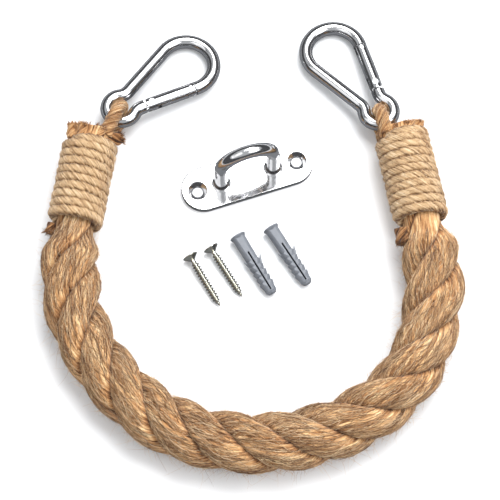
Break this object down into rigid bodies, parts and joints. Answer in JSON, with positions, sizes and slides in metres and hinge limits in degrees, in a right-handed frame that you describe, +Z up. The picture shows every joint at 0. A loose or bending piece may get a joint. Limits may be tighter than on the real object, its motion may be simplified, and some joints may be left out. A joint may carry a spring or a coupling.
{
  "type": "rope hanger with snap hooks",
  "caption": "Twisted jute rope with a cord loop and a spring snap hook at each whipped end, with its wall eye plate, countersunk screws and wall plugs.",
  "frame": {"origin": "centre of the whole object's outline, on the surface that it lies on", "axes": "+Z up from that surface, +Y from the middle of the rope's bend towards its hooks, +X towards the end whose hook is the right one"},
  "size_m": [0.1806, 0.2086, 0.034],
  "materials": {
    "jute_rope": "twisted jute yarns, dry and hairy, tan with darker grooves",
    "jute_twine": "paler jute twine, tightly wound",
    "jute_cord": "twisted jute cord",
    "hook_steel": "polished stainless steel",
    "pin_steel": "satin stainless steel",
    "plate_steel": "mirror polished stainless steel",
    "screw_steel": "nickel plated steel, slightly olive",
    "plug_nylon": "moulded grey nylon"
  },
  "bodies": {
    "rope": {"strand_1": "jute_rope", "strand_2": "jute_rope", "strand_3": "jute_rope", "whipping_left": "jute_twine", "whipping_right": "jute_twine", "loop_left": "jute_cord", "loop_right": "jute_cord", "cord_tail_left": "jute_cord", "cord_tail_right": "jute_cord"},
    "hook_left": {"hook_body_left": "hook_steel"},
    "gate_left": {"gate_left": "hook_steel", "hinge_rivet_left": "pin_steel", "latch_pin_left": "pin_steel", "gate_spring_left": "pin_steel"},
    "plunger_left": {"spring_plunger_left": "pin_steel"},
    "hook_right": {"hook_body_right": "hook_steel"},
    "gate_right": {"gate_right": "hook_steel", "hinge_rivet_right": "pin_steel", "latch_pin_right": "pin_steel", "gate_spring_right": "pin_steel"},
    "plunger_right": {"spring_plunger_right": "pin_steel"},
    "wall_plate": {"eye_plate": "plate_steel", "eye_ring": "plate_steel", "ring_welds": "pin_steel"},
    "screw_1": {"screw_1": "screw_steel"},
    "screw_2": {"screw_2": "screw_steel"},
    "plug_1": {"plug_1": "plug_nylon"},
    "plug_2": {"plug_2": "plug_nylon"}
  },
  "joints": [
    {"name": "hook_left_lift", "type": "hinge", "parent": "rope", "child": "hook_left", "pos_m": [-0.0604, 0.053, 0.0094], "axis": [0.9272, -0.3746, 0], "range_deg": [0, 100]},
    {"name": "gate_left_open", "type": "hinge", "parent": "hook_left", "child": "gate_left", "pos_m": [-0.04461, 0.06142, 0.00765], "axis": [0.0475, 0.1175, 0.9919], "range_deg": [0, 35], "stiffness_Nm_per_rad": 0.08, "springref_deg": -28.65},
    {"name": "plunger_left_push", "type": "slide", "parent": "gate_left", "child": "plunger_left", "axis": [0.9149, 0.3934, -0.0904], "range_m": [0, 0.0014]},
    {"name": "hook_right_lift", "type": "hinge", "parent": "rope", "child": "hook_right", "pos_m": [0.0574, 0.0512, 0.0094], "axis": [0.9781, 0.2079, 0], "range_deg": [0, 100]},
    {"name": "gate_right_open", "type": "hinge", "parent": "hook_right", "child": "gate_right", "pos_m": [0.05493, 0.07095, 0.00698], "axis": [-0.0252, 0.1184, 0.9927], "range_deg": [0, 35], "stiffness_Nm_per_rad": 0.08, "springref_deg": -28.65},
    {"name": "plunger_right_push", "type": "slide", "parent": "gate_right", "child": "plunger_right", "axis": [-0.2992, 0.9466, -0.1204], "range_m": [0, 0.0014]},
    {"name": "wall_plate_lift", "type": "slide", "parent": "rope", "child": "wall_plate", "axis": [0, 0, 1], "range_m": [0, 0.15]},
    {"name": "screw_1_lift", "type": "slide", "parent": "rope", "child": "screw_1", "axis": [0, 0, 1], "range_m": [0, 0.15]},
    {"name": "screw_2_lift", "type": "slide", "parent": "rope", "child": "screw_2", "axis": [0, 0, 1], "range_m": [0, 0.15]},
    {"name": "plug_1_lift", "type": "slide", "parent": "rope", "child": "plug_1", "axis": [0, 0, 1], "range_m": [0, 0.15]},
    {"name": "plug_2_lift", "type": "slide", "parent": "rope", "child": "plug_2", "axis": [0, 0, 1], "range_m": [0, 0.15]}
  ],
  "couplings": [
    {"joint": "plunger_left_push", "follows": "gate_left_open", "m_per_rad": 0.0022},
    {"joint": "plunger_right_push", "follows": "gate_right_open", "m_per_rad": 0.0022}
  ]
}
